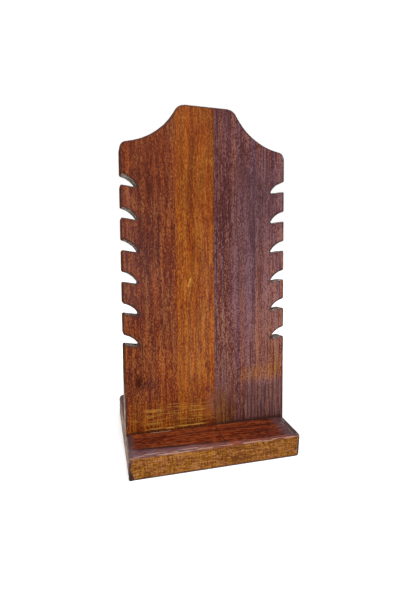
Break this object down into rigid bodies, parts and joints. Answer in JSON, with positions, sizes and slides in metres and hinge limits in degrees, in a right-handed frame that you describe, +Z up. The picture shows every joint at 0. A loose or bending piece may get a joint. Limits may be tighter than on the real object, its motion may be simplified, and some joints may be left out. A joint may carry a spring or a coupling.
{
  "type": "jewelry stand",
  "caption": "Wooden display stand: a neck-shaped panel with notched sides leans back in the groove of a thick base.",
  "frame": {"origin": "middle of the base's underside, on the surface that the stand is put on", "axes": "+Z up, +X to the right as the stand is looked at from the front, front towards -Y"},
  "size_m": [0.1796, 0.141, 0.357],
  "materials": {
    "red_brown_wood": "satin varnish over stain, worn at the edges",
    "golden_wood": "satin varnish over stain, worn at the edges",
    "dark_wood": "satin varnish over stain, worn at the edges",
    "base_wood": "satin varnish over stain, worn at the edges"
  },
  "bodies": {
    "base": {"base_front_left_block": "base_wood", "base_front_right_block": "base_wood", "base_rear_board": "base_wood"},
    "panel": {"panel_left_stave": "red_brown_wood", "panel_middle_stave": "golden_wood", "panel_right_stave": "dark_wood"}
  },
  "joints": [
    {"name": "panel_lift", "type": "slide", "parent": "base", "child": "panel", "axis": [0, 0.1097, 0.994], "range_m": [0, 0.012]}
  ]
}
